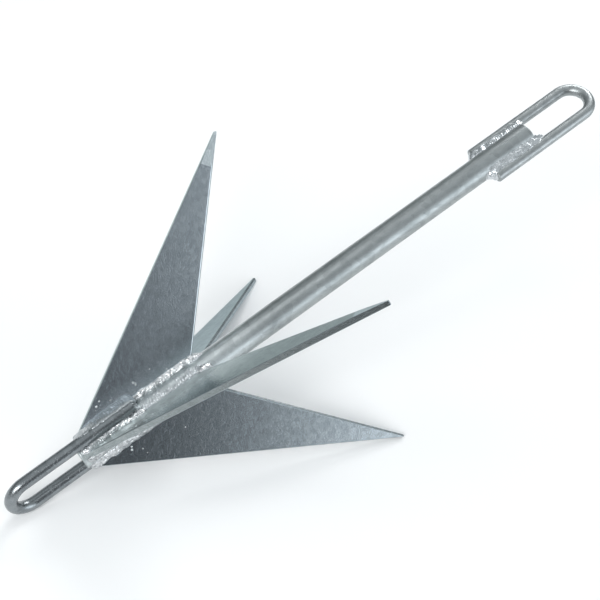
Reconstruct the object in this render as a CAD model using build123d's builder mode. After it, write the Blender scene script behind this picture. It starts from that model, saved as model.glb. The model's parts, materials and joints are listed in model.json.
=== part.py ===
from build123d import *
import os
from math import asin, cos, degrees, radians, sin, tan

# Four-fluke anchor: a welded, hot-dip galvanised assembly of tube, plate and round bar.
# It stands as it would be set down on a floor: on the points of the two lower flukes and on the
# trip eye, with the shank rising towards the rode eye. +Z is up, X runs under the shank towards the
# rode eye, and the origin is under the middle of the bounding box, on the floor. Millimetres.

os.makedirs("parts", exist_ok=True)

# shank: light-wall steam tube, open at both ends
tube_diameter = 26.9
tube_wall = 3.2
tube_length = 560.0
tube_rim_rounding = 0.8

# flukes: stations run along the shank from the tube's crown end, heights from the shank's axis
plate_thickness = 6.0
base_start = 2.0
base_end = 136.0
point_station = 280.0
point_height = 185.0
point_rounding = 1.2
trailing_rounding = 2.4
leading_chamfer = 0.5
dressed_length = 40.0
dressed_angle = 2.4
fluke_angles = {"top_right": 45.0, "bottom_right": 135.0, "bottom_left": 225.0, "top_left": 315.0}
dressed_sides = {"top_right": -1, "bottom_right": 1, "bottom_left": -1, "top_left": 1}

# eyes: round bar bent round to a U, its legs welded along the tube
bar_diameter = 12.0
leg_end_chamfer = 1.0
trip_eye_reach = 80.0
trip_leg_lap = 66.0
rode_eye_reach = 88.0
rode_leg_lap = 60.0

# weld runs; angles on the tube and on the bar are counted from the leg's own direction
plate_weld_leg = 5.5
weld_crown = 0.6
end_weld_leg = 7.0
end_weld_half_width = 5.0
root_gap_angle = 6.0
trip_weld_height = 20.0
trip_weld_bar_angle = 100.0
rode_weld_tube_angle = 33.0
rode_weld_bar_angle = 95.0
leg_end_weld_length = 9.0
leg_end_weld_height = 9.0

tube_radius = tube_diameter / 2
bar_radius = bar_diameter / 2
half_plate = plate_thickness / 2
leg_height = tube_radius + bar_radius
eye_outer_radius = leg_height + bar_radius
trip_bend_station = eye_outer_radius - trip_eye_reach
rode_bend_station = tube_length + rode_eye_reach - eye_outer_radius
lower_fluke_drop = cos(radians(45))
lead_dir = Vector(point_station - base_start, point_height - tube_radius).normalized()
trail_dir = Vector(point_station - base_end, point_height - tube_radius).normalized()
point_middle = (lead_dir + trail_dir).normalized()
point_half_angle = lead_dir.get_angle(trail_dir) / 2


# Resting attitude. Depths are measured below the shank's axis, square to the floor, with the shank
# risen by an angle: the lower flukes' points and the trip eye's bend have to be equally deep.
def point_depth(rise):
    along = sin(radians(rise))
    down = cos(radians(rise)) * lower_fluke_drop
    inward = point_middle * -1
    centre = Vector(point_station, point_height) + inward * (point_rounding / sin(radians(point_half_angle)))
    lowest = centre + Vector(-along, down).normalized() * point_rounding
    dressed_run = dressed_length + (lowest - Vector(point_station, point_height)).dot(point_middle)
    thickness = half_plate - dressed_run * tan(radians(dressed_angle))
    return -lowest.X * along + lowest.Y * down + thickness * down


def bend_depth(rise):
    return -trip_bend_station * sin(radians(rise)) + eye_outer_radius


low_rise = 5.0
high_rise = 40.0
for step in range(50):
    shank_rise = (low_rise + high_rise) / 2
    if point_depth(shank_rise) > bend_depth(shank_rise):
        low_rise = shank_rise
    else:
        high_rise = shank_rise

# The shank's own directions, and the point where its axis leaves the crown end of the tube.
# Angles round the shank are counted from straight up, clockwise when looking towards the rode eye.
shank_dir = Vector(cos(radians(shank_rise)), 0, sin(radians(shank_rise)))
shank_up = Vector(-sin(radians(shank_rise)), 0, cos(radians(shank_rise)))
shank_right = Vector(0, -1, 0)
lowest_x = trip_bend_station * shank_dir.X - eye_outer_radius
highest_x = (tube_length + rode_eye_reach - bar_radius) * shank_dir.X + bar_radius
crown_centre = Vector(-(lowest_x + highest_x) / 2, 0, bend_depth(shank_rise))


def outward(angle):
    return shank_up * cos(radians(angle)) + shank_right * sin(radians(angle))


# Holds the shank's axis: x is the station along it, y the height above it on that side.
def length_plane(angle):
    return Plane(origin=crown_centre, x_dir=shank_dir, z_dir=shank_dir.cross(outward(angle)))


# Square to the shank: x is the height above its axis, y runs clockwise from there.
def cross_plane(station, angle):
    return Plane(origin=crown_centre + shank_dir * station, x_dir=outward(angle), z_dir=shank_dir)


def polar(radius, angle):
    return (radius * cos(radians(angle)), radius * sin(radians(angle)))


def save(part, name):
    part.label = name
    export_step(part, f"parts/{name}.step")


# Shank tube
with BuildPart() as shank_tube:
    with BuildSketch(cross_plane(0, 0)):
        Circle(tube_radius)
        Circle(tube_radius - tube_wall, mode=Mode.SUBTRACT)
    extrude(amount=tube_length)
    fillet(shank_tube.edges().filter_by(GeomType.CIRCLE), radius=tube_rim_rounding)
save(shank_tube.part, "shank_tube")


# Flukes
# A triangle of plate that stands on the tube, its point swept towards the rode eye. The leading
# edge is square, the trailing edge is rounded over, and one face is dressed down to the point.
def make_fluke(angle, dressed_side):
    plane = length_plane(angle)
    start = (base_start, tube_radius)
    end = (base_end, tube_radius)
    point = (point_station, point_height)

    def to_space(direction):
        return plane.from_local_coords(direction) - plane.origin

    with BuildPart() as fluke:
        with BuildSketch(plane) as outline:
            with BuildLine():
                Polyline(start, end, point, close=True)
            make_face()
            fillet(outline.vertices().sort_by(Axis.X)[-1], radius=point_rounding)
        extrude(amount=half_plate, both=True)
        chamfer(fluke.edges().filter_by(Axis(plane.origin, to_space(lead_dir))), length=leading_chamfer)
        # a long bar with one rounded side, laid along the trailing edge, trims that edge
        edge_plane = Plane(
            origin=plane.from_local_coords(end),
            x_dir=to_space(Vector(trail_dir.Y, -trail_dir.X)),
            z_dir=to_space(trail_dir),
        )
        with BuildSketch(edge_plane) as edge_bar:
            with Locations((-point_station / 2, 0)):
                Rectangle(point_station, plate_thickness)
            rounded = edge_bar.vertices().group_by(Axis.X)[-1]
            fillet(rounded, radius=trailing_rounding)
        extrude(amount=point_station, both=True, mode=Mode.INTERSECT)
        # one face is dressed down towards the point
        dress_start = Vector(*point) - point_middle * dressed_length
        slope = point_middle * sin(radians(dressed_angle))
        dress_plane = Plane(
            origin=plane.from_local_coords(Vector(dress_start.X, dress_start.Y, half_plate * dressed_side)),
            z_dir=to_space(Vector(slope.X, slope.Y, cos(radians(dressed_angle)) * dressed_side)),
        )
        split(bisect_by=dress_plane, keep=Keep.BOTTOM)
    return fluke.part


for side_name, fluke_angle in fluke_angles.items():
    save(make_fluke(fluke_angle, dressed_sides[side_name]), f"fluke_{side_name}")


# Eyes
# One bar: a leg along the tube, half a turn beyond its end, and the other leg back along it.
def make_eye(angle, leg_end, bend_station):
    heading = 90 if bend_station > leg_end else -90
    with BuildPart() as eye:
        with BuildLine(length_plane(angle)) as route:
            Line((leg_end, leg_height), (bend_station, leg_height))
            CenterArc((bend_station, 0), leg_height, 90, -2 * heading)
            Line((bend_station, -leg_height), (leg_end, -leg_height))
        with BuildSketch(cross_plane(leg_end, angle)):
            with Locations((leg_height, 0)):
                Circle(bar_radius)
        sweep(path=route.line)
        ends = eye.edges().filter_by(GeomType.CIRCLE).filter_by(
            lambda edge: abs(cross_plane(leg_end, angle).to_local_coords(edge.center()).Z) < 0.01
        )
        chamfer(ends, length=leg_end_chamfer)
    return eye.part


trip_eye = make_eye(0, trip_leg_lap, trip_bend_station)
save(trip_eye, "trip_eye")
rode_eye = make_eye(90, tube_length - rode_leg_lap, rode_bend_station)
save(rode_eye, "rode_eye")


# Welds along the flukes
# The run fills the corner between the tube and a face of the plate, on its clockwise side (1) or the
# other (-1). Its face is slightly convex, from the toe on the plate to the toe on the tube.
def make_plate_weld(angle, side, station, length):
    seat_angle = degrees(asin(half_plate / tube_radius))
    toe_angle = degrees(asin((half_plate + plate_weld_leg) / tube_radius))
    seat = polar(tube_radius, side * seat_angle)
    plate_toe = (seat[0] + plate_weld_leg, seat[1])
    tube_toe = polar(tube_radius, side * toe_angle)
    with BuildPart() as weld:
        with BuildSketch(cross_plane(station, angle)):
            with BuildLine():
                Line(seat, plate_toe)
                face_chord = Line(plate_toe, tube_toe, mode=Mode.PRIVATE)
                ThreePointArc(plate_toe, bulge(face_chord @ 0.5), tube_toe)
                ThreePointArc(tube_toe, polar(tube_radius, side * (seat_angle + toe_angle) / 2), seat)
            make_face()
        extrude(amount=length)
    return weld.part


def bulge(middle):
    return middle + middle.normalized() * weld_crown


# The trip eye's legs lie in the corners at 0 and 180, and there the run starts past the leg's end.
def trip_leg_side(angle):
    return -1 if angle % 180 < 90 else 1


for side_name, fluke_angle in fluke_angles.items():
    for weld_name, weld_side in {"clockwise": 1, "counter": -1}.items():
        beside_leg = weld_side == trip_leg_side(fluke_angle)
        weld_start = trip_leg_lap + leg_end_weld_length if beside_leg else base_start
        plate_weld = make_plate_weld(fluke_angle, weld_side, weld_start, base_end - weld_start)
        save(plate_weld, f"weld_fluke_{side_name}_{weld_name}")


# Welds round the ends
# A wedge that climbs from the tube to the end of a fluke's base or of a leg.
def make_end_weld(angle, outline):
    with BuildPart() as weld:
        with BuildSketch(length_plane(angle)):
            with BuildLine():
                Polyline(*outline, close=True)
            make_face()
        extrude(amount=end_weld_half_width, both=True)
        with BuildSketch(cross_plane(0, angle)):
            Circle(tube_radius)
        extrude(amount=tube_length, mode=Mode.SUBTRACT)
    return weld.part


weld_root_height = tube_radius - 2
plate_end_top = Vector(base_end, tube_radius) + trail_dir * end_weld_leg
plate_end_foot = base_end + end_weld_leg
plate_end_outline = [
    (base_end, weld_root_height),
    (plate_end_foot, weld_root_height),
    (plate_end_foot, tube_radius),
    (plate_end_top.X, plate_end_top.Y),
    (base_end, tube_radius),
]
for side_name, fluke_angle in fluke_angles.items():
    save(make_end_weld(fluke_angle, plate_end_outline), f"weld_fluke_{side_name}_end")


def leg_end_outline(leg_end, heading):
    foot = leg_end + heading * leg_end_weld_length
    top = tube_radius + leg_end_weld_height
    shoulder = leg_end + heading * leg_end_weld_length / 3
    return [
        (leg_end, weld_root_height),
        (foot, weld_root_height),
        (foot, tube_radius),
        (shoulder, top),
        (leg_end, top),
    ]


# Welds along the eyes' legs
# The run fills the valley between the tube and the bar, short of the line where they touch. Beside
# the trip eye it also climbs the face of the fluke, which stands at 45 degrees to the leg.
def make_leg_weld(angle, side, station, length, bar_angle, tube_angle, corner=None):
    root_y = tube_radius * sin(radians(root_gap_angle))
    root_bar_angle = 180 - degrees(asin(root_y / bar_radius))
    tube_root = polar(tube_radius, side * root_gap_angle)
    tube_toe = polar(tube_radius, side * tube_angle)
    middle_angle = (tube_angle + root_gap_angle) / 2

    def on_bar(bar_side_angle):
        x, y = polar(bar_radius, side * bar_side_angle)
        return (leg_height + x, y)

    with BuildPart() as weld:
        with BuildSketch(cross_plane(station, angle)):
            with BuildLine():
                ThreePointArc(tube_toe, polar(tube_radius, side * middle_angle), tube_root)
                Line(tube_root, on_bar(root_bar_angle))
                ThreePointArc(on_bar(root_bar_angle), on_bar((root_bar_angle + bar_angle) / 2), on_bar(bar_angle))
                if corner is None:
                    Line(on_bar(bar_angle), tube_toe)
                else:
                    Line(on_bar(bar_angle), corner)
                    Line(corner, tube_toe)
            make_face()
        extrude(amount=length)
    return weld.part


fluke_seat_angle = 45 - degrees(asin(half_plate / tube_radius))
fluke_corner_x = (trip_weld_height + half_plate) * cos(radians(45))
fluke_corner_y = (trip_weld_height - half_plate) * sin(radians(45))
for leg_name, leg_angle, leg_sides in [
    ("top", 0, {"right": 1, "left": -1}),
    ("bottom", 180, {"right": -1, "left": 1}),
]:
    for weld_name, weld_side in leg_sides.items():
        trip_weld = make_leg_weld(
            leg_angle,
            weld_side,
            base_start,
            trip_leg_lap - base_start,
            trip_weld_bar_angle,
            fluke_seat_angle,
            (fluke_corner_x, fluke_corner_y * weld_side),
        )
        save(trip_weld, f"weld_trip_eye_{leg_name}_{weld_name}")
    save(make_end_weld(leg_angle, leg_end_outline(trip_leg_lap, 1)), f"weld_trip_eye_{leg_name}_end")

for leg_name, leg_angle, leg_sides in [
    ("right", 90, {"lower": 1, "upper": -1}),
    ("left", 270, {"lower": -1, "upper": 1}),
]:
    for weld_name, weld_side in leg_sides.items():
        rode_weld = make_leg_weld(
            leg_angle,
            weld_side,
            tube_length - rode_leg_lap,
            rode_leg_lap - 1,
            rode_weld_bar_angle,
            rode_weld_tube_angle,
        )
        save(rode_weld, f"weld_rode_eye_{leg_name}_{weld_name}")
    rode_end = leg_end_outline(tube_length - rode_leg_lap, -1)
    save(make_end_weld(leg_angle, rode_end), f"weld_rode_eye_{leg_name}_end")

print("shank rise", shank_rise, "crown centre", crown_centre)
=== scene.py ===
import itertools
import json
import math
import random
import bmesh
import bpy
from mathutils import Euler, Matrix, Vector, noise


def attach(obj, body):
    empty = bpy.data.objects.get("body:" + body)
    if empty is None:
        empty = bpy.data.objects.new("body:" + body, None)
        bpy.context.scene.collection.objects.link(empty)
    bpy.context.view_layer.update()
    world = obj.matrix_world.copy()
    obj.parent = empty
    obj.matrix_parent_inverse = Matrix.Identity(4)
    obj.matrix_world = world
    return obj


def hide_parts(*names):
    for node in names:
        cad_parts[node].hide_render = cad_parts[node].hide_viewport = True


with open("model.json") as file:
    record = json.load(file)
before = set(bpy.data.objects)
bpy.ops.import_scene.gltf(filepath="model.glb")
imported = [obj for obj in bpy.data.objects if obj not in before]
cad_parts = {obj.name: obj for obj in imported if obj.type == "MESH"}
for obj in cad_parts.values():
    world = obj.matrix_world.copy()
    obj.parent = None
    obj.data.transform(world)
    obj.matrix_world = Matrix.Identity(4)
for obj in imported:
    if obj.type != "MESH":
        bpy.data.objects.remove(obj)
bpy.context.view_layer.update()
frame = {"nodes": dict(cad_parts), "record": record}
print("frame loaded:", len(frame["nodes"]), "parts")

# the stock that the anchor is welded from, in mm
mm = 0.001
tubeRadius = 13.45
barRadius = 6.0
plateHalf = 3.0
legHeight = tubeRadius + barRadius  # from the shank's axis to the axis of an eye's leg
seatHeight = math.sqrt(tubeRadius ** 2 - plateHalf ** 2)  # where a fluke's face meets the tube
tripSlot = 0.068  # clear length of the trip eye beyond the tube, in metres

# the anchor's own directions, from the two eyes in the frame
eyes = {mount["name"]: Vector(mount["pos_m"]) for mount in frame["record"]["mounts"]}
shankDir = (eyes["rode_eye"] - eyes["trip_eye"]).normalized()
shankRight = Vector((0, -1, 0))
shankUp = shankRight.cross(shankDir)
crownCentre = eyes["trip_eye"] + shankDir * tripSlot


def outwardAt(angle):
    # straight out from the shank's axis, clockwise from the top as seen from the crown end
    turn = math.radians(angle)
    return shankUp * math.cos(turn) + shankRight * math.sin(turn)


def crossPoint(station, angle, out, clockwise):
    # a point in mm: along the shank from the crown end, out from its axis and a step clockwise from there
    outward = outwardAt(angle)
    along = crownCentre + shankDir * (station * mm)
    return along + outward * (out * mm) + shankDir.cross(outward) * (clockwise * mm)


# shader nodes, shared by the zinc finishes and the sky
floatSocket = "NodeSocketFloat"
colourSocket = "NodeSocketColor"
vectorSocket = "NodeSocketVector"


def feed(tree, target, value):
    # a socket is linked, and anything else is set as the fixed value
    if isinstance(value, bpy.types.NodeSocket):
        tree.links.new(value, target)
    else:
        target.default_value = value


def addNode(tree, kind, feeds, **settings):
    # a node with its settings, and with what goes into its sockets by name or number
    node = tree.nodes.new(kind)
    for key, value in settings.items():
        setattr(node, key, value)
    for key, value in feeds.items():
        feed(tree, node.inputs[key], value)
    return node


def calculate(tree, operation, *values):
    feeds = dict(enumerate(values))
    return addNode(tree, "ShaderNodeMath", feeds, operation=operation).outputs[0]


def calculateVector(tree, operation, *values):
    feeds = dict(enumerate(values))
    outputs = addNode(tree, "ShaderNodeVectorMath", feeds, operation=operation).outputs
    return outputs["Value"] if operation in ("DOT_PRODUCT", "LENGTH") else outputs["Vector"]


def ramp(tree, value, low=0.0, high=1.0, start=0.0, end=1.0, shape="LINEAR"):
    # runs from start to end while the value runs from low to high
    feeds = {"Value": value, "From Min": low, "From Max": high, "To Min": start, "To Max": end}
    return addNode(tree, "ShaderNodeMapRange", feeds, interpolation_type=shape).outputs["Result"]


def mixColours(tree, amount, first, second, blend="MIX"):
    # sockets 6 and 7 of the mix take colours, and its output 2 gives one
    feeds = {"Factor": amount, 6: first, 7: second}
    return addNode(tree, "ShaderNodeMix", feeds, data_type="RGBA", blend_type=blend).outputs[2]


def newGroup(name, inputs, outputs):
    # an empty group, the sockets that bring its inputs in and the sockets that take its outputs
    group = bpy.data.node_groups.new(name, "ShaderNodeTree")
    for label, kind in inputs.items():
        group.interface.new_socket(name=label, in_out="INPUT", socket_type=kind)
    for label, kind in outputs.items():
        group.interface.new_socket(name=label, in_out="OUTPUT", socket_type=kind)
    return group, group.nodes.new("NodeGroupInput").outputs, group.nodes.new("NodeGroupOutput").inputs


def makeZincSkin():
    # frozen zinc: soft crystals, cloudy patches, runs drawn out along one direction and fine grain
    amounts = (
        "Crystal Scale", "Crystal Amount", "Cloud Scale", "Cloud Amount", "Run Scale", "Run Amount",
        "Grain Amount", "Rough Low", "Rough High", "Bump",
    )
    inputs = {"Light": colourSocket, "Dark": colourSocket, "Run Stretch": vectorSocket}
    inputs.update({label: floatSocket for label in amounts})
    outputs = {"Color": colourSocket, "Roughness": floatSocket, "Normal": vectorSocket}
    group, given, result = newGroup("zincSkin", inputs, outputs)
    where = addNode(group, "ShaderNodeTexCoord", {}).outputs["Object"]
    shankPitch = math.atan2(shankDir.z, shankDir.x)
    alongShank = addNode(group, "ShaderNodeMapping", {
        "Vector": where, "Rotation": (0, shankPitch, 0), "Scale": given["Run Stretch"],
    }).outputs["Vector"]
    cells = addNode(group, "ShaderNodeTexVoronoi", {
        "Vector": where, "Scale": given["Crystal Scale"], "Randomness": 1.0,
    })
    crystals = addNode(group, "ShaderNodeSeparateColor", {"Color": cells.outputs["Color"]})
    clouds = addNode(group, "ShaderNodeTexNoise", {
        "Vector": where, "Scale": given["Cloud Scale"], "Detail": 6.0, "Roughness": 0.6,
    })
    runs = addNode(group, "ShaderNodeTexNoise", {
        "Vector": alongShank, "Scale": given["Run Scale"], "Detail": 5.0, "Roughness": 0.65,
    })
    grain = addNode(group, "ShaderNodeTexNoise", {
        "Vector": where, "Scale": 900.0, "Detail": 4.0, "Roughness": 0.7,
    })

    def swing(texture, amount):
        # the texture's swing about its middle, times its amount
        return calculate(group, "MULTIPLY", calculate(group, "SUBTRACT", texture, 0.5), amount)

    def plus(first, second):
        return calculate(group, "ADD", first, second)

    cloudPart = swing(clouds.outputs["Fac"], given["Cloud Amount"])
    crystalPart = swing(crystals.outputs["Red"], given["Crystal Amount"])
    runPart = swing(runs.outputs["Fac"], given["Run Amount"])
    grainPart = swing(grain.outputs["Fac"], given["Grain Amount"])
    shade = plus(plus(plus(cloudPart, crystalPart), plus(runPart, grainPart)), 0.5)
    shade = addNode(group, "ShaderNodeClamp", {"Value": shade}).outputs["Result"]
    relief = plus(plus(crystalPart, runPart), grainPart)
    bump = addNode(group, "ShaderNodeBump", {
        "Height": relief, "Strength": given["Bump"], "Distance": 0.0006,
    })
    feed(group, result["Color"], mixColours(group, shade, given["Dark"], given["Light"]))
    feed(group, result["Roughness"], ramp(group, shade, start=given["Rough High"], end=given["Rough Low"]))
    feed(group, result["Normal"], bump.outputs["Normal"])
    return group


paintedLightZone = {
    "tubeEdge": 0.0135,  # distance from the shank's axis where the painted light beside it starts to fade
    "middle": 0.070,  # station at the middle of the welded stretch
    "half": 0.080,
    "fade": 0.080,
}


def makePaintedLightMasks():
    # masks for where light and shade are painted: beside the shank as far as the reach, and along the
    # welded stretch
    outputs = {"Beside Shank": floatSocket, "Near Welds": floatSocket}
    group, given, result = newGroup("paintedLightMasks", {"Reach": floatSocket}, outputs)
    where = addNode(group, "ShaderNodeTexCoord", {}).outputs["Object"]
    fromCrown = calculateVector(group, "SUBTRACT", where, crownCentre)
    across = calculateVector(group, "CROSS_PRODUCT", fromCrown, shankDir)
    distance = calculateVector(group, "LENGTH", across)
    beside = ramp(group, distance, paintedLightZone["tubeEdge"], given["Reach"], 1.0, 0.0, "SMOOTHSTEP")
    station = calculateVector(group, "DOT_PRODUCT", fromCrown, shankDir)
    gap = calculate(group, "ABSOLUTE", calculate(group, "SUBTRACT", station, paintedLightZone["middle"]))
    near = ramp(group, gap, paintedLightZone["half"], paintedLightZone["half"] + paintedLightZone["fade"], 1.0, 0.0, "SMOOTHSTEP")
    feed(group, result["Beside Shank"], beside)
    feed(group, result["Near Welds"], near)
    return group


facingLimits = (0.99965, 0.99985)  # cosines between a flat's own way out and the given one


def makeFlatFacing():
    # 1 on the one flat that faces the given way
    group, given, result = newGroup("flatFacing", {"Facing": vectorSocket}, {"Amount": floatSocket})
    flat = addNode(group, "ShaderNodeNewGeometry", {}).outputs["True Normal"]
    match = calculateVector(group, "DOT_PRODUCT", flat, given["Facing"])
    feed(group, result["Amount"], ramp(group, match, *facingLimits))
    return group


zincSkin = makeZincSkin()
paintedLightMasks = makePaintedLightMasks()
flatFacing = makeFlatFacing()


def shaderOf(material):
    return material.node_tree.nodes["Principled BSDF"]


def makeZinc(name, settings, edge=(1, 1, 1, 1)):
    # edge tints what the metal mirrors at a glancing angle
    material = bpy.data.materials.new(name)
    material.use_nodes = True
    tree = material.node_tree
    skin = addNode(tree, "ShaderNodeGroup", settings, node_tree=zincSkin)
    shader = shaderOf(material)
    for label, socket in (("Color", "Base Color"), ("Roughness", "Roughness"), ("Normal", "Normal")):
        tree.links.new(skin.outputs[label], shader.inputs[socket])
    shader.inputs["Metallic"].default_value = 1.0
    shader.inputs["Specular Tint"].default_value = edge
    return material


def gainColour(material, amount, gain):
    # multiplies the zinc's colour, as far as the amount says
    tree = material.node_tree
    colour = shaderOf(material).inputs["Base Color"]
    tree.links.new(mixColours(tree, amount, colour.links[0].from_socket, gain, "MULTIPLY"), colour)


def paintedLightMask(material, label, feeds):
    # one of the masks for where light and shade are painted
    return addNode(material.node_tree, "ShaderNodeGroup", feeds, node_tree=paintedLightMasks).outputs[label]


def pickFace(material, facing):
    feeds = {"Facing": facing}
    return addNode(material.node_tree, "ShaderNodeGroup", feeds, node_tree=flatFacing).outputs["Amount"]


def paint(piece, material):
    piece.data.materials.clear()
    piece.data.materials.append(material)


plateZinc = makeZinc("plateZinc", {
    "Light": (0.48, 0.52, 0.545, 1), "Dark": (0.3, 0.335, 0.355, 1),
    "Crystal Scale": 230.0, "Crystal Amount": 0.4, "Cloud Scale": 38.0, "Cloud Amount": 0.5,
    "Run Stretch": (1.0, 1.0, 0.25), "Run Scale": 160.0, "Run Amount": 0.3, "Grain Amount": 0.8,
    "Rough Low": 0.14, "Rough High": 0.25, "Bump": 0.18,
}, edge=(0.62, 0.70, 0.71, 1))
tubeZinc = makeZinc("tubeZinc", {
    "Light": (0.47, 0.5, 0.505, 1), "Dark": (0.22, 0.24, 0.245, 1),
    "Crystal Scale": 140.0, "Crystal Amount": 0.25, "Cloud Scale": 45.0, "Cloud Amount": 0.6,
    "Run Stretch": (0.18, 1.0, 1.0), "Run Scale": 140.0, "Run Amount": 0.9, "Grain Amount": 0.35,
    "Rough Low": 0.3, "Rough High": 0.46, "Bump": 0.45,
})
barZinc = makeZinc("barZinc", {
    "Light": (0.45, 0.475, 0.48, 1), "Dark": (0.25, 0.27, 0.275, 1),
    "Crystal Scale": 180.0, "Crystal Amount": 0.3, "Cloud Scale": 60.0, "Cloud Amount": 0.6,
    "Run Stretch": (0.3, 1.0, 1.0), "Run Scale": 160.0, "Run Amount": 0.6, "Grain Amount": 0.45,
    "Rough Low": 0.33, "Rough High": 0.47, "Bump": 0.4,
})
# painted shade: the trip eye's bars take the bar zinc made darker, and a little less rough
shadedTripBarZinc = makeZinc("shadedTripBarZinc", {
    "Light": (0.37, 0.395, 0.41, 1), "Dark": (0.15, 0.165, 0.175, 1),
    "Crystal Scale": 180.0, "Crystal Amount": 0.3, "Cloud Scale": 60.0, "Cloud Amount": 0.6,
    "Run Stretch": (0.3, 1.0, 1.0), "Run Scale": 160.0, "Run Amount": 0.7, "Grain Amount": 0.45,
    "Rough Low": 0.2, "Rough High": 0.32, "Bump": 0.4,
})
weldZinc = makeZinc("weldZinc", {
    "Light": (0.97, 0.98, 0.99, 1), "Dark": (0.27, 0.285, 0.3, 1),
    "Crystal Scale": 400.0, "Crystal Amount": 0.6, "Cloud Scale": 200.0, "Cloud Amount": 0.6,
    "Run Stretch": (1.0, 1.0, 1.0), "Run Scale": 500.0, "Run Amount": 0.8, "Grain Amount": 1.1,
    "Rough Low": 0.18, "Rough High": 0.36, "Bump": 0.6,
})
smoothWeldZinc = makeZinc("smoothWeldZinc", {
    "Light": (0.80, 0.83, 0.85, 1), "Dark": (0.34, 0.365, 0.38, 1),
    "Crystal Scale": 260.0, "Crystal Amount": 0.35, "Cloud Scale": 110.0, "Cloud Amount": 0.9,
    "Run Stretch": (0.5, 1.0, 1.0), "Run Scale": 260.0, "Run Amount": 0.6, "Grain Amount": 0.5,
    "Rough Low": 0.2, "Rough High": 0.36, "Bump": 0.35,
})
# painted highlight: the tube's colour is made lighter along the welded stretch at the crown end
tubeHighlightGain = (1.55, 1.55, 1.55, 1)
gainColour(tubeZinc, paintedLightMask(tubeZinc, "Near Welds", {}), tubeHighlightGain)

# the flukes: a side is 1 on the face that looks clockwise and -1 on the other
# painted highlight: the dressed flat at a fluke's point is painted paler, standing in for the light it
# mirrors
pointHighlightGain = (1.7, 1.68, 1.65, 1)
fluke = {
    "baseStart": Vector((2, 13.45)),  # along the shank and out from its axis, mm
    "baseEnd": Vector((136, 13.45)),
    "point": Vector((280, 185)),
    "dressSlope": 2.4,  # degrees that the dressed flat at the point slopes off its face
    # painted shade: the leading edges are painted darker
    "leadingEdgeShadeGain": (0.82, 0.83, 0.80, 1),
    # per corner, painted light and shade: a gain over one face, and another beside the shank as far as the
    # reach, where a metallic below 1 makes the zinc take more light
    "corners": {
        "top_right": {
            "angle": 45, "dressedSide": -1, "dressedHighlightGain": (1.0, 1.0, 0.98, 1),
            "paintedLightSide": -1, "faceLightShadeGain": (0.62, 0.61, 0.58, 1),
            "reach": 0.100, "nearShankLightShadeGain": (2.5, 2.5, 2.5, 1), "metallic": 0.55,
        },
        "bottom_right": {
            "angle": 135, "dressedSide": 1, "dressedHighlightGain": pointHighlightGain,
            "paintedLightSide": -1, "faceLightShadeGain": (1, 1, 1, 1),
            "reach": 0.190, "nearShankLightShadeGain": (0.7, 0.7, 0.71, 1), "metallic": 1.0,
        },
        "bottom_left": {
            "angle": 225, "dressedSide": -1, "dressedHighlightGain": pointHighlightGain,
            "paintedLightSide": 1, "faceLightShadeGain": (1, 1, 1, 1),
            "reach": 0.060, "nearShankLightShadeGain": (1.5, 1.5, 1.45, 1), "metallic": 0.8,
        },
        "top_left": {
            "angle": 315, "dressedSide": 1, "dressedHighlightGain": pointHighlightGain,
            "paintedLightSide": 1, "faceLightShadeGain": (1.1, 1.1, 1.12, 1),
            "reach": 0.040, "nearShankLightShadeGain": (1.6, 1.6, 1.6, 1), "metallic": 0.9,
        },
    },
}
leadingEdge = (fluke["point"] - fluke["baseStart"]).normalized()
trailingEdge = (fluke["point"] - fluke["baseEnd"]).normalized()


def edgeFacing(angle):
    # the way the leading edge looks out
    return (outwardAt(angle) * leadingEdge.x - shankDir * leadingEdge.y).normalized()


def faceFacing(angle, side, slope=0.0):
    # the way a face of the fluke looks out, or the flat that slopes off it towards the point
    middle = (leadingEdge + trailingEdge).normalized() * math.sin(math.radians(slope))
    outward = outwardAt(angle)
    face = shankDir.cross(outward) * side * math.cos(math.radians(slope))
    return (shankDir * middle.x + outward * middle.y + face).normalized()


def paintFluke(node, cornerName):
    # each fluke has its own zinc: painted light and shade over one face and more of it beside the shank, a
    # painted highlight on the dressed flat at its point, and painted shade on its leading edge
    corner = fluke["corners"][cornerName]
    own = plateZinc.copy()
    own.name = "plateZinc_fluke_" + cornerName
    face = pickFace(own, faceFacing(corner["angle"], corner["paintedLightSide"]))
    # painted light and shade over the whole of one face
    gainColour(own, face, corner["faceLightShadeGain"])
    # more painted light and shade beside the shank; the zinc there is made less metallic so that it takes
    # more light
    beside = paintedLightMask(own, "Beside Shank", {"Reach": corner["reach"]})
    paintedNearShank = calculate(own.node_tree, "MULTIPLY", beside, face)
    gainColour(own, paintedNearShank, corner["nearShankLightShadeGain"])
    if corner["metallic"] < 1.0:
        paintedLightMetallic = ramp(own.node_tree, paintedNearShank, start=1.0, end=corner["metallic"])
        feed(own.node_tree, shaderOf(own).inputs["Metallic"], paintedLightMetallic)
    # painted highlight on the dressed flat at the point
    dressed = pickFace(own, faceFacing(corner["angle"], corner["dressedSide"], fluke["dressSlope"]))
    gainColour(own, dressed, corner["dressedHighlightGain"])
    # painted shade on the leading edge
    gainColour(own, pickFace(own, edgeFacing(corner["angle"])), fluke["leadingEdgeShadeGain"])
    paint(node, own)


# every node that isn't stock is a weld run
stockZinc = {"shank_tube": tubeZinc, "rode_eye": barZinc, "trip_eye": shadedTripBarZinc}
for nodeName, node in frame["nodes"].items():
    if nodeName.startswith("fluke_"):
        paintFluke(node, nodeName.removeprefix("fluke_"))
    else:
        paint(node, stockZinc.get(nodeName, weldZinc))
print("parts painted")

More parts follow.
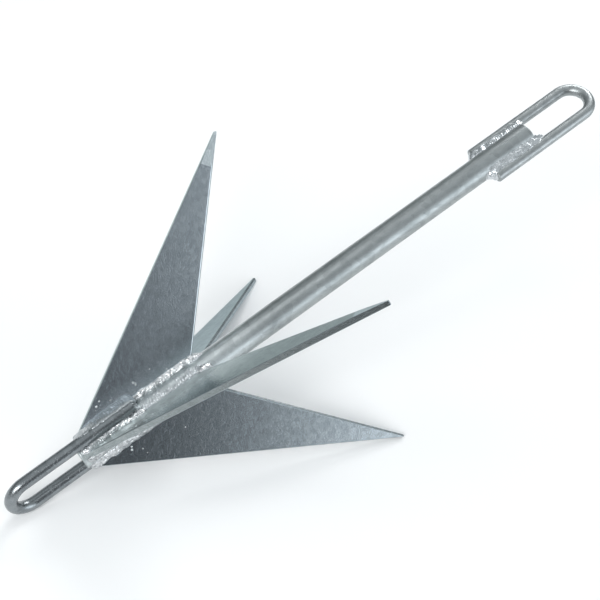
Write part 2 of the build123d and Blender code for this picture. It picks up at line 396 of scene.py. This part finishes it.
# weld runs: in a cross plane x runs out from the shank's axis and y runs clockwise, in mm;
# a layer picks one slice of a noise, so that no two of them move together
weldGrain = {
    "drift": {"scale": 0.11, "layer": 3.1, "size": 1.6},
    "lumps": {"scale": 0.17, "across": 1.5, "layer": 11.3},
    "crust": {"scale": 0.52, "across": 5.2, "layer": 27.9},
    "crustFractal": (0.9, 2.1, 3),  # how fast finer grain fades, its step in scale and its octaves
    "wanders": [(0.13, 41.0), (0.16, 67.0)],  # scale and layer for each of a bead's two toes
}


def polar(radius, degrees):
    return Vector((radius * math.cos(math.radians(degrees)), radius * math.sin(math.radians(degrees))))


def onLeg(radius, degrees):
    # the same about the axis of an eye's leg
    return polar(radius, degrees) + Vector((legHeight, 0))


def grainSpot(station, across, seed, grain):
    return Vector((station * grain["scale"], across * grain["across"], seed + grain["layer"]))


def weldSurface(station, across, seed, settings):
    # height of a bead's surface at one spot: crescents of ripple, lumps and a coarse crust
    bow = settings["bow"] * (2 * across - 1) ** 2
    drift = weldGrain["drift"]
    shift = noise.noise(Vector((station * drift["scale"], seed, drift["layer"]))) * drift["size"]
    ripple = math.sin((station + bow + shift) * 2 * math.pi / settings["pitch"])
    lumps = noise.noise(grainSpot(station, across, seed, weldGrain["lumps"]))
    crust = noise.fractal(grainSpot(station, across, seed, weldGrain["crust"]), *weldGrain["crustFractal"])
    return ripple * settings["ripple"] + lumps * settings["lump"] + crust * settings["rough"]


def buildMesh(name, points, faces):
    mesh = bpy.data.meshes.new(name)
    mesh.from_pydata(points, [], faces)
    shape = bmesh.new()
    shape.from_mesh(mesh)
    bmesh.ops.recalc_face_normals(shape, faces=shape.faces)
    shape.to_mesh(mesh)
    shape.free()
    mesh.update()
    for face in mesh.polygons:
        face.use_smooth = True
    piece = bpy.data.objects.new(name, mesh)
    bpy.context.collection.objects.link(piece)
    return piece


def joinRings(rings):
    # quads between neighbouring rings and a cap on each end
    count = len(rings[0])
    points = [point for ring in rings for point in ring]
    faces = []
    for row in range(len(rings) - 1):
        for step in range(count):
            low = row * count + step
            lowNext = row * count + (step + 1) % count
            faces.append((low, lowNext, lowNext + count, low + count))
    faces.append(tuple(reversed(range(count))))
    last = (len(rings) - 1) * count
    faces.append(tuple(range(last, last + count)))
    return points, faces


bead = {
    "ringStep": 0.6,  # distance between the rings of a bead
    "faceSteps": 14,
    "endSize": 0.02,  # square of how small a rounded end gets
    "edgeCrust": 0.25,  # how much of the crust is left at the toes
    "swellCrust": 1.4,
    "toeSink": 0.15,  # how far a toe lies under the surface it meets
    "innerSink": 1.0,  # how far the bead's inner side lies inside the tube or the bar
}


def rounding(station, settings):
    # 1 along the run, dropping to almost nothing at its rounded ends
    size = 1.0
    ends = (
        (station - settings["start"], settings["startRound"]),
        (settings["end"] - station, settings["endRound"]),
    )
    for gap, length in ends:
        if gap < length:
            size = min(size, math.sqrt(max(bead["endSize"], 1 - (1 - gap / length) ** 2)))
    return size


def makeBead(angle, side, seed, settings, toes):
    # toes gives the two toes at a station, the middle of the root and the points kept inside the metal
    def wander(station, scale, layer):
        return noise.noise(Vector((station * scale, seed, layer))) * settings["wander"]

    length = settings["end"] - settings["start"]
    rows = int(length / bead["ringStep"])
    rings = []
    for row in range(rows + 1):
        station = settings["start"] + length * row / rows
        wanders = [wander(station, *pair) for pair in weldGrain["wanders"]]
        firstToe, secondToe, root, inner = toes(station, *wanders)
        chord = secondToe - firstToe
        out = Vector((-chord.y, chord.x)).normalized()
        if out.dot(firstToe - root) < 0:
            out = -out
        size = rounding(station, settings)
        ring = []
        for step in range(bead["faceSteps"] + 1):
            across = step / bead["faceSteps"]
            swell = 1 - abs(2 * across - 1) ** settings["square"]
            crust = min(1.0, bead["edgeCrust"] + swell * bead["swellCrust"])
            height = settings["crown"] * swell + weldSurface(station, across, seed, settings) * crust
            spot = firstToe + chord * across + out * height
            ring.append(root + (spot - root) * size)
        ring += [root + (spot - root) * size for spot in inner]
        rings.append([crossPoint(station, angle, spot.x, spot.y * side) for spot in ring])
    return joinRings(rings)


flukeCorner = {
    "rootSink": 0.5,
    "plateSink": 1.2,
    "plateBack": 0.8,
    "tubeBack": 3,  # degrees
}


def flukeToes(settings):
    # a bead in the corner between the tube and one face of a fluke
    def toes(station, wander, tubeWander):
        plateToe = Vector((seatHeight + settings["plateLeg"] + wander, plateHalf - bead["toeSink"]))
        tubeAngle = settings["tubeToe"] + math.degrees(tubeWander / tubeRadius)
        tubeToe = polar(tubeRadius - bead["toeSink"], tubeAngle)
        root = Vector((seatHeight - flukeCorner["rootSink"], plateHalf - flukeCorner["rootSink"]))
        inside = plateHalf - flukeCorner["plateSink"]
        inner = [
            polar(tubeRadius - bead["innerSink"], tubeAngle - flukeCorner["tubeBack"]),
            Vector((seatHeight - flukeCorner["plateSink"], inside)),
            Vector((plateToe.x - flukeCorner["plateBack"], inside)),
        ]
        return plateToe, tubeToe, root, inner
    return toes


tripValley = {
    "root": (0.4, 24),  # depth under the tube's surface, and degrees round it
    "innerTube": [(0.8, 31), (1.0, 12)],
    "innerPlate": Vector((0.9, -0.3)),
    "barTurn": 12,  # degrees round the leg from the toe to the inner side
    "barLimit": 170,
}
diagonal = math.sqrt(0.5)  # a fluke stands 45 degrees round from each leg of the trip eye


def heightAt(station, knots):
    # straight between neighbouring pairs of a station and a height
    for (low, lowHeight), (high, highHeight) in zip(knots, knots[1:]):
        if low <= station <= high:
            return lowHeight + (highHeight - lowHeight) * (station - low) / (high - low)


def tripToes(settings):
    # a bead that fills the valley between a leg of the trip eye and the face of a fluke
    def toes(station, wander, barWander):
        height = wander + heightAt(station, settings["heights"])
        plateToe = Vector((
            (height + plateHalf - bead["toeSink"]) * diagonal,
            (height - plateHalf + bead["toeSink"]) * diagonal,
        ))
        barAngle = settings["barToe"] + math.degrees(barWander / barRadius)
        barToe = onLeg(barRadius - bead["toeSink"], barAngle)
        rootDepth, rootAngle = tripValley["root"]
        innerAngle = min(barAngle + tripValley["barTurn"], tripValley["barLimit"])
        inner = [plateToe - tripValley["innerPlate"]]
        inner += [polar(tubeRadius - depth, degrees) for depth, degrees in tripValley["innerTube"]]
        inner.append(onLeg(barRadius - bead["innerSink"], innerAngle))
        return barToe, plateToe, polar(tubeRadius - rootDepth, rootAngle), inner
    return toes


rodeValley = {
    "root": Vector((tubeRadius + 3.0, 2.2)),
    "tubeBack": 3,  # degrees, like the other turns here
    "innerTube": 9,
    "innerBar": 165,
    "barTurn": 10,
}


def rodeToes(settings):
    # a bead that fills the valley between a leg of the rode eye and the tube
    def toes(station, wander, barWander):
        barAngle = settings["barToe"] + math.degrees(barWander / barRadius)
        tubeAngle = settings["tubeToe"] + math.degrees(wander / tubeRadius)
        innerTube = tubeRadius - bead["innerSink"]
        innerBar = barRadius - bead["innerSink"]
        inner = [
            polar(innerTube, tubeAngle - rodeValley["tubeBack"]),
            polar(innerTube, rodeValley["innerTube"]),
            onLeg(innerBar, rodeValley["innerBar"]),
            onLeg(innerBar, barAngle + rodeValley["barTurn"]),
        ]
        barToe = onLeg(barRadius - bead["toeSink"], barAngle)
        tubeToe = polar(tubeRadius - bead["toeSink"], tubeAngle)
        return barToe, tubeToe, rodeValley["root"], inner
    return toes


saddle = {
    "rowStep": 0.5,
    "columns": 26,
    "narrowing": 0.45,  # share of the width lost at the foot
    "domePower": 0.6,
    "edgeCrust": 1.6,
    "footCrust": 3,
    "thin": 0.4,  # where the lump is thinner than this, it keeps only the thin share of its crust
    "thinShare": 0.3,
    "lowest": -0.1,
    "sink": 0.12,
    "under": -1.2,  # height of its inner side
    "keepHeight": 6,  # from this height up it keeps to the width of what it wraps
}


def makeSaddle(angle, seed, settings):
    # a lump of weld that wraps round an end: heights above the tube over a small patch of it
    travelLength = settings["foot"] - settings["start"]
    rows = int(abs(travelLength) / saddle["rowStep"])
    columns = saddle["columns"]
    top = []
    for row in range(rows + 1):
        travel = row / rows
        station = settings["start"] + travelLength * travel
        peak = settings["height"] * (1 - travel ** settings["squareFoot"]) ** settings["slope"]
        half = settings["halfWidth"] * (1 - saddle["narrowing"] * travel ** 2)
        footCrust = min(1.0, saddle["footCrust"] * (1 - travel))
        share = 1 if peak > saddle["thin"] else saddle["thinShare"]
        line = []
        for column in range(columns + 1):
            across = 2 * column / columns - 1
            dome = max(0.0, 1 - abs(across) ** settings["squareSide"]) ** saddle["domePower"]
            crust = weldSurface(station, (across + 1) / 2, seed, settings)
            crust = crust * min(1.0, dome * saddle["edgeCrust"]) * footCrust
            lift = max(saddle["lowest"], peak * dome + crust * share) - saddle["sink"]
            line.append((station, across * half, lift))
        top.append(line)

    def place(station, sideways, lift):
        spot = polar(tubeRadius + lift, math.degrees(sideways / tubeRadius))
        keep = min(1.0, max(0.0, lift / saddle["keepHeight"]))
        spot = spot.lerp(Vector((tubeRadius + lift, sideways)), keep)
        return crossPoint(station, angle, spot.x, spot.y)

    points = [place(*spot) for line in top for spot in line]
    points += [place(station, sideways, saddle["under"]) for line in top for station, sideways, _ in line]
    wide = columns + 1
    under = wide * (rows + 1)
    faces = []
    for row in range(rows):
        for column in range(columns):
            corner = row * wide + column
            faces.append((corner, corner + 1, corner + wide + 1, corner + wide))
            below = under + corner
            faces.append((below, below + wide, below + wide + 1, below + 1))
    rim = [(0, column) for column in range(columns)] + [(row, columns) for row in range(rows)]
    rim += [(rows, column) for column in range(columns, 0, -1)] + [(row, 0) for row in range(rows, 0, -1)]
    loop = [row * wide + column for row, column in rim]
    for spot, following in zip(loop, loop[1:] + loop[:1]):
        faces.append((spot, under + spot, under + following, following))
    return points, faces


# crown and square shape the bead's swell, pitch and bow its ripples, and wander moves its toes;
# stations are in mm from the crown end of the tube, and toes are in degrees round the tube or the bar
smoothBead = {
    "crown": 0.9, "square": 3.0, "ripple": 0.12, "pitch": 2.6, "bow": 2.2,
    "lump": 0.45, "rough": 0.16, "wander": 0.7, "startRound": 4.0, "endRound": 4.0,
}
coarseBead = {
    "crown": 0.9, "square": 3.0, "ripple": 0.10, "pitch": 2.1, "bow": 1.8,
    "lump": 0.75, "rough": 0.62, "wander": 1.1, "startRound": 4.0, "endRound": 4.0,
}
flukeBeads = {
    "top_left_clockwise": {
        **coarseBead, "start": 68, "end": 140, "plateLeg": 6.2, "tubeToe": 21,
        "crown": 1.3, "square": 4.0, "wander": 1.5,
    },
    "top_left_counter": {**smoothBead, "start": 3, "end": 138, "plateLeg": 5.5, "tubeToe": 38},
    "top_right_clockwise": {**coarseBead, "start": 3, "end": 138, "plateLeg": 5.2, "tubeToe": 44},
    "top_right_counter": {
        **smoothBead, "start": 69, "end": 143, "plateLeg": 1.2, "tubeToe": 61,
        "crown": 0.7, "square": 4.0, "lump": 0.5, "rough": 0.28,
    },
    "bottom_right_clockwise": {**smoothBead, "start": 71, "end": 138, "plateLeg": 5.4, "tubeToe": 40},
    "bottom_right_counter": {**coarseBead, "start": 3, "end": 138, "plateLeg": 5.6, "tubeToe": 42},
    "bottom_left_clockwise": {**smoothBead, "start": 3, "end": 138, "plateLeg": 5.4, "tubeToe": 40},
    "bottom_left_counter": {**coarseBead, "start": 71, "end": 138, "plateLeg": 5.5, "tubeToe": 38},
}
flukeEnd = {
    **coarseBead, "start": 134.0, "foot": 148.0, "height": 7.4, "halfWidth": 7.2,
    "slope": 0.9, "squareFoot": 1.0, "squareSide": 2.4,
}
# heights are pairs of a station and how far out on the fluke the bead's toe lies there
tripBeads = {
    "top_left": {
        **smoothBead, "start": 2.5, "end": 72, "barToe": 4,
        "heights": [(0, 17.8), (17, 21.0), (27, 23.0), (52, 23.0), (60, 24.8), (67, 23.0), (80, 17.0)],
        "endRound": 9.0, "crown": 1.5, "square": 5.0, "rough": 0.12, "lump": 0.7, "ripple": 0.10,
    },
    "top_right": {
        **coarseBead, "start": 2.5, "end": 73, "barToe": 116,
        "heights": [(0, 18.0), (9, 18.4), (16, 14.8), (45, 14.8), (62, 18.5), (80, 20.5)],
        "endRound": 9.0, "crown": 0.9, "rough": 0.5,
    },
    "bottom_left": {
        **coarseBead, "start": 2.5, "end": 71, "barToe": 96,
        "heights": [(0, 18.6), (40, 19.8), (80, 19.4)],
        "endRound": 6.0, "rough": 0.4,
    },
    "bottom_right": {
        **smoothBead, "start": 2.5, "end": 71, "barToe": 70,
        "heights": [(0, 19.4), (50, 21.0), (80, 19.8)],
        "endRound": 6.0,
    },
}
tripEnd = {
    **smoothBead, "start": 64.0, "foot": 70.5, "height": 7.5, "halfWidth": 6.4,
    "slope": 1.2, "squareFoot": 1.4, "squareSide": 2.6, "rough": 0.2,
}
rodeBeads = {
    "left_upper": {
        **smoothBead, "start": 498, "end": 568, "barToe": 92, "tubeToe": 36,
        "endRound": 9.0, "crown": 0.3, "lump": 0.8,
    },
    "left_lower": {
        **smoothBead, "start": 499, "end": 566, "barToe": 100, "tubeToe": 34,
        "endRound": 8.0, "crown": 0.3,
    },
    "right_upper": {
        **coarseBead, "start": 494, "end": 570, "barToe": 96, "tubeToe": 40,
        "startRound": 8.0, "endRound": 11.0, "crown": 0.2, "rough": 0.26, "lump": 0.9,
    },
    "right_lower": {
        **coarseBead, "start": 497, "end": 567, "barToe": 100, "tubeToe": 35,
        "endRound": 8.0, "crown": 0.4,
    },
}
rodeEnds = {
    "right": {
        **coarseBead, "start": 501.5, "foot": 489.0, "height": 11.4, "halfWidth": 7.2,
        "slope": 2.6, "squareFoot": 1.0, "squareSide": 2.4, "rough": 0.25,
    },
    "left": {
        **smoothBead, "start": 501.5, "foot": 492.5, "height": 11.0, "halfWidth": 6.6,
        "slope": 0.8, "squareFoot": 1.1, "squareSide": 2.6,
    },
}
# degrees clockwise from the top, and the beads on the clockwise side of their leg
legAngles = {"top": 0, "right": 90, "bottom": 180, "left": 270}
clockwiseOfLeg = ("top_right", "bottom_left", "right_lower", "left_upper")
smoothLimit = 0.3  # a weld with a finer crust than this has the smoother zinc
seeds = itertools.count(1.0, 7.7)


def setWeld(nodeName, settings, mesh):
    piece = buildMesh("bead_" + nodeName, *mesh)
    paint(piece, smoothWeldZinc if settings["rough"] < smoothLimit else weldZinc)
    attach(piece, "root")
    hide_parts(nodeName)


def layLegBead(eyeName, beadName, settings, toes):
    angle = legAngles[beadName.split("_")[0]]
    side = 1 if beadName in clockwiseOfLeg else -1
    mesh = makeBead(angle, side, next(seeds), settings, toes(settings))
    setWeld("weld_" + eyeName + "_" + beadName, settings, mesh)


for beadName, settings in flukeBeads.items():
    cornerName, sideName = beadName.rsplit("_", 1)
    angle = fluke["corners"][cornerName]["angle"]
    side = 1 if sideName == "clockwise" else -1
    mesh = makeBead(angle, side, next(seeds), settings, flukeToes(settings))
    setWeld("weld_fluke_" + beadName, settings, mesh)
for cornerName, corner in fluke["corners"].items():
    mesh = makeSaddle(corner["angle"], next(seeds), flukeEnd)
    setWeld("weld_fluke_" + cornerName + "_end", flukeEnd, mesh)
for beadName, settings in tripBeads.items():
    layLegBead("trip_eye", beadName, settings, tripToes)
for legName in ("top", "bottom"):
    mesh = makeSaddle(legAngles[legName], next(seeds), tripEnd)
    setWeld("weld_trip_eye_" + legName + "_end", tripEnd, mesh)
for beadName, settings in rodeBeads.items():
    layLegBead("rode_eye", beadName, settings, rodeToes)
for legName, settings in rodeEnds.items():
    mesh = makeSaddle(legAngles[legName], next(seeds), settings)
    setWeld("weld_rode_eye_" + legName + "_end", settings, mesh)
print("weld runs laid")

spatter = {
    "seed": 11,
    "radius": (0.4, 1.3),  # mm, like the lengths below
    "flatness": 0.6,
    "stations": (34, 132),
    "lowest": 20.5,  # how far out from the shank's axis the drops start
    "reach": 26.0,  # how far up the plate they were thrown
    "edgeSlope": 0.6,  # rise of the leading edge, taken a little low
    "edgeGap": 5,  # how far below it the drops stay
    "counts": {  # drops on each face, by corner and side
        ("top_left", 1): 10,
        ("top_right", 1): 5,
        ("top_right", -1): 3,
        ("bottom_right", -1): 8,
        ("bottom_left", 1): 4,
    },
}


def makeSpatter():
    # drops of weld thrown on to the faces of the flukes, each a flattened ball sunk half in the zinc
    draw = random.Random(spatter["seed"])
    points = []
    faces = []
    for (cornerName, side), count in spatter["counts"].items():
        angle = fluke["corners"][cornerName]["angle"]
        for _ in range(count):
            station = draw.uniform(*spatter["stations"])
            height = spatter["lowest"] + spatter["reach"] * draw.random() ** 2
            edge = tubeRadius + (station - fluke["baseStart"].x) * spatter["edgeSlope"]
            height = min(height, edge - spatter["edgeGap"])
            drop = bmesh.new()
            bmesh.ops.create_icosphere(drop, subdivisions=2, radius=draw.uniform(*spatter["radius"]))
            first = len(points)
            for spot in drop.verts:
                lift = plateHalf + spot.co.z * spatter["flatness"]
                points.append(crossPoint(station + spot.co.x, angle, height + spot.co.y, lift * side))
            faces += [tuple(first + spot.index for spot in face.verts) for face in drop.faces]
            drop.free()
    return points, faces


drops = buildMesh("weldSpatter", *makeSpatter())
paint(drops, smoothWeldZinc)
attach(drops, "root")
print("spatter thrown")

floorPaper = {
    "size": 12.0,
    "colour": (0.95, 0.95, 0.95, 1),
    "roughness": 0.9,
    "gloss": 0.2,
}


def makeFloor():
    bpy.ops.mesh.primitive_plane_add(size=floorPaper["size"], location=(0, 0, 0))
    floor = bpy.context.object
    floor.name = "studioFloor"
    material = bpy.data.materials.new("floorPaper")
    material.use_nodes = True
    shader = shaderOf(material)
    shader.inputs["Base Color"].default_value = floorPaper["colour"]
    shader.inputs["Roughness"].default_value = floorPaper["roughness"]
    shader.inputs["Specular IOR Level"].default_value = floorPaper["gloss"]
    floor.data.materials.append(material)


# places and targets in metres, sizes as width and height, power in watts
lights = {
    "overheadBox": {
        "place": (-0.18, 0.15, 1.30), "target": (-0.1, 0, 0.1), "size": (0.22, 0.22), "power": 0.6,
    },
    "rightBox": {"place": (2.0, 1.2, 1.7), "target": (0, 0, 0), "size": (1.4, 1.0), "power": 34},
    "leftBox": {"place": (-2.3, -0.9, 1.6), "target": (0, 0, 0), "size": (1.6, 1.2), "power": 52},
}


def makeLight(name, settings):
    light = bpy.data.lights.new(name, "AREA")
    light.shape = "RECTANGLE"
    light.size, light.size_y = settings["size"]
    light.energy = settings["power"]
    lamp = bpy.data.objects.new(name, light)
    lamp.location = settings["place"]
    aim = Vector(settings["target"]) - Vector(settings["place"])
    lamp.rotation_euler = aim.to_track_quat("-Z", "Y").to_euler()
    bpy.context.collection.objects.link(lamp)


# brightness by direction; each pair is where a fade starts and ends, as a cosine from its axis
sky = {
    "horizon": (0.17, 0.195, 0.20, 1),
    "zenith": (0.62, 0.66, 0.68, 1),
    "lit": (2.55, 2.72, 2.84, 1),
    "dim": (0.09, 0.10, 0.11, 1),
    "paleUpwards": (0.05, 0.98),
    "front": (0.15, 0.45),
    "litHeight": (-0.80, -0.22),
    "dimHeight": (-0.92, -0.66),
    "litEdge": {"azimuth": -83.5, "fade": (-0.08, 0.08)},
    "litFarEdge": {"azimuth": -38, "fade": (0.2, -0.2)},
    "dimEdge": {"azimuth": -88.5, "fade": (0.10, -0.10)},
}


def makeSky():
    # pale overhead, dim at the horizon, with one soft lit wall and a dark corner beside it
    world = bpy.data.worlds.new("studioWorld")
    world.use_nodes = True
    tree = world.node_tree
    direction = addNode(tree, "ShaderNodeTexCoord", {}).outputs["Generated"]

    def fade(axis, limits):
        along = calculateVector(tree, "DOT_PRODUCT", direction, axis)
        return ramp(tree, along, *limits, shape="SMOOTHSTEP")

    def edge(settings):
        # an upright edge that stands at an azimuth
        turn = math.radians(settings["azimuth"] + 90)
        return fade((math.cos(turn), math.sin(turn), 0), settings["fade"])

    def times(first, *others):
        for other in others:
            first = calculate(tree, "MULTIPLY", first, other)
        return first

    front = fade((0, -1, 0), sky["front"])
    down = (0, 0, -1)
    dimArea = times(front, fade(down, sky["dimHeight"]), edge(sky["dimEdge"]))
    litArea = times(front, fade(down, sky["litHeight"]), edge(sky["litEdge"]), edge(sky["litFarEdge"]))
    colour = mixColours(tree, fade((0, 0, 1), sky["paleUpwards"]), sky["horizon"], sky["zenith"])
    colour = mixColours(tree, dimArea, colour, sky["dim"])
    colour = mixColours(tree, litArea, colour, sky["lit"])
    tree.links.new(colour, tree.nodes["Background"].inputs["Color"])
    bpy.context.scene.world = world


camera = {
    "place": (-0.59905, -0.57081, 0.96819),
    "turn": (43.1307, -7.0915, -37.7632),  # degrees
    "lens": 71.93,
    "sensor": 36.0,
}


def makeCamera():
    view = bpy.data.cameras.new("studioCamera")
    view.lens = camera["lens"]
    view.sensor_width = camera["sensor"]
    body = bpy.data.objects.new("studioCamera", view)
    body.location = camera["place"]
    body.rotation_euler = Euler([math.radians(angle) for angle in camera["turn"]], "XYZ")
    bpy.context.collection.objects.link(body)
    bpy.context.scene.camera = body


makeFloor()
makeSky()
for lightName, settings in lights.items():
    makeLight(lightName, settings)
makeCamera()
bpy.context.scene.view_settings.view_transform = "Standard"
print("studio ready")
